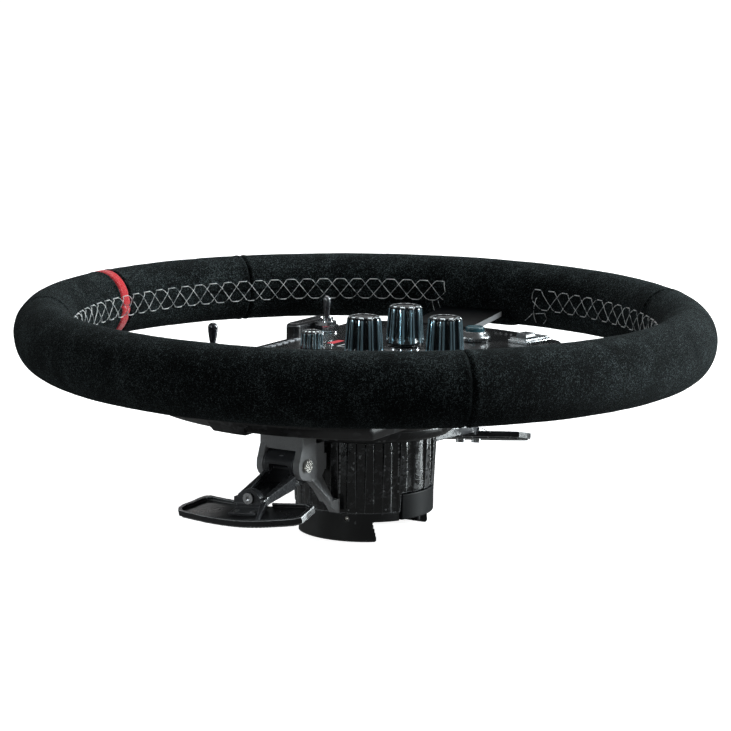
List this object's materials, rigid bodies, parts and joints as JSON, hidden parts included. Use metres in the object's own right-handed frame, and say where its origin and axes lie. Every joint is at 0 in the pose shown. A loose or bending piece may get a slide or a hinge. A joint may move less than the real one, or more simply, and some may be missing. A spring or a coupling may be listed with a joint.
{
  "type": "racing wheel",
  "caption": "Round suede-covered sim-racing wheel on a spoke frame, with a button box, rotary knobs, toggles, a ribbed quick-release hub and shift paddles.",
  "frame": {"origin": "bottom centre of the quick-release ring, on the axis the wheel turns about", "axes": "+Z along the axis towards the driver, +Y to 12 o'clock, +X to 3 o'clock"},
  "size_m": [0.3, 0.3, 0.1009],
  "materials": {
    "suede": "black suede with a fine short nap",
    "band_suede": "red suede strip",
    "thread": "light grey polyester thread",
    "foam": "moulded foam",
    "steel": "zinc plated",
    "black_anodised": "black anodised, bright cut edges",
    "housing_composite": "forged-carbon look, satin",
    "black_plastic": "moulded satin black",
    "board": "solder mask",
    "dark_screw": "black oxide",
    "lens": "milky lens",
    "silver_mark": "polished",
    "knob_gloss": "gloss black, fluted",
    "shaft_metal": "machined",
    "chrome": "bright nickel",
    "toggle_dark": "gloss black tip",
    "switch_plastic": "moulded",
    "teal_cap": "translucent teal cap",
    "grey_cap": "dark grey cap",
    "bracket_grey": "glass-filled, satin",
    "lever_grey": "glass-filled, satin",
    "blade_black": "moulded, satin",
    "magnet_metal": "nickel plated"
  },
  "bodies": {
    "wheel": {"spoke_frame": "black_anodised", "rim_core": "steel", "rim_foam": "foam", "suede_top_left": "suede", "suede_top_right": "suede", "suede_left": "suede", "suede_right": "suede", "suede_bottom": "suede", "centre_band": "band_suede", "rim_stitching": "thread", "face_plate": "black_anodised", "rear_housing": "housing_composite", "toggle_guard_left": "black_plastic", "toggle_guard_right": "black_plastic", "circuit_board": "board", "cover_screws": "dark_screw", "rev_light_lenses": "lens", "status_lights": "silver_mark", "knob_collars": "chrome", "rotary_switch_bodies": "switch_plastic", "toggle_bushings": "chrome", "toggle_nuts": "chrome", "toggle_switch_bodies": "switch_plastic", "round_button_bezels": "chrome", "square_button_bezels": "chrome", "button_switch_bodies": "switch_plastic", "hub_flange": "housing_composite", "hub_sleeve": "black_plastic", "hub_bolts": "steel", "quick_release_ring": "black_plastic", "contact_block": "black_plastic", "paddle_bracket_left": "bracket_grey", "paddle_bracket_right": "bracket_grey", "stop_magnets": "magnet_metal", "hinge_pins": "steel", "shift_switches": "switch_plastic"},
    "knob_left": {"knob_left": "knob_gloss", "knob_shaft_left": "shaft_metal"},
    "knob_right": {"knob_right": "knob_gloss", "knob_shaft_right": "shaft_metal"},
    "knob_lower": {"knob_lower": "knob_gloss", "knob_shaft_lower": "shaft_metal"},
    "small_knob": {"small_knob": "knob_gloss", "small_knob_shaft": "shaft_metal"},
    "toggle_left": {"toggle_lever_left": "toggle_dark"},
    "toggle_right": {"toggle_lever_right": "chrome"},
    "round_button_left": {"round_button_left": "teal_cap"},
    "round_button_right": {"round_button_right": "teal_cap"},
    "square_button_left": {"square_button_left": "grey_cap"},
    "square_button_right": {"square_button_right": "grey_cap"},
    "release_latch": {"release_latch": "black_plastic", "latch_spring": "steel"},
    "paddle_left": {"paddle_lever_left": "lever_grey", "paddle_blade_left": "blade_black", "paddle_screws_left": "steel", "paddle_magnet_left": "magnet_metal"},
    "paddle_right": {"paddle_lever_right": "lever_grey", "paddle_blade_right": "blade_black", "paddle_screws_right": "steel", "paddle_magnet_right": "magnet_metal"}
  },
  "joints": [
    {"name": "knob_left_turn", "type": "hinge", "parent": "wheel", "child": "knob_left", "pos_m": [-0.0177, -0.0093, 0.08], "axis": [0, 0, 1], "continuous": true},
    {"name": "knob_right_turn", "type": "hinge", "parent": "wheel", "child": "knob_right", "pos_m": [0.0177, -0.0093, 0.08], "axis": [0, 0, 1], "continuous": true},
    {"name": "knob_lower_turn", "type": "hinge", "parent": "wheel", "child": "knob_lower", "pos_m": [0, -0.0386, 0.08], "axis": [0, 0, 1], "continuous": true},
    {"name": "small_knob_turn", "type": "hinge", "parent": "wheel", "child": "small_knob", "pos_m": [0, 0.027, 0.08], "axis": [0, 0, 1], "continuous": true},
    {"name": "toggle_left_flip", "type": "hinge", "parent": "wheel", "child": "toggle_left", "pos_m": [-0.047, 0.0476, 0.0775], "axis": [1, 0, 0], "range_deg": [-12, 12], "stiffness_Nm_per_rad": 0.05},
    {"name": "toggle_right_flip", "type": "hinge", "parent": "wheel", "child": "toggle_right", "pos_m": [0.047, 0.0476, 0.0775], "axis": [1, 0, 0], "range_deg": [-12, 12], "stiffness_Nm_per_rad": 0.05},
    {"name": "round_button_left_press", "type": "slide", "parent": "wheel", "child": "round_button_left", "axis": [0, 0, -1], "range_m": [0, 0.0012], "stiffness_N_per_m": 400, "springref_m": -0.0006},
    {"name": "round_button_right_press", "type": "slide", "parent": "wheel", "child": "round_button_right", "axis": [0, 0, -1], "range_m": [0, 0.0012], "stiffness_N_per_m": 400, "springref_m": -0.0006},
    {"name": "square_button_left_press", "type": "slide", "parent": "wheel", "child": "square_button_left", "axis": [0, 0, -1], "range_m": [0, 0.0012], "stiffness_N_per_m": 400, "springref_m": -0.0006},
    {"name": "square_button_right_press", "type": "slide", "parent": "wheel", "child": "square_button_right", "axis": [0, 0, -1], "range_m": [0, 0.0012], "stiffness_N_per_m": 400, "springref_m": -0.0006},
    {"name": "latch_press", "type": "slide", "parent": "wheel", "child": "release_latch", "axis": [0, 1, 0], "range_m": [0, 0.003], "stiffness_N_per_m": 1200, "springref_m": -0.001},
    {"name": "paddle_left_pull", "type": "hinge", "parent": "wheel", "child": "paddle_left", "pos_m": [-0.048, 0.0105, 0.0355], "axis": [0, 1, 0], "range_deg": [0, 6], "stiffness_Nm_per_rad": 2, "springref_deg": -3.44},
    {"name": "paddle_right_pull", "type": "hinge", "parent": "wheel", "child": "paddle_right", "pos_m": [0.048, 0.0105, 0.0355], "axis": [0, -1, 0], "range_deg": [0, 6], "stiffness_Nm_per_rad": 2, "springref_deg": -3.44}
  ]
}
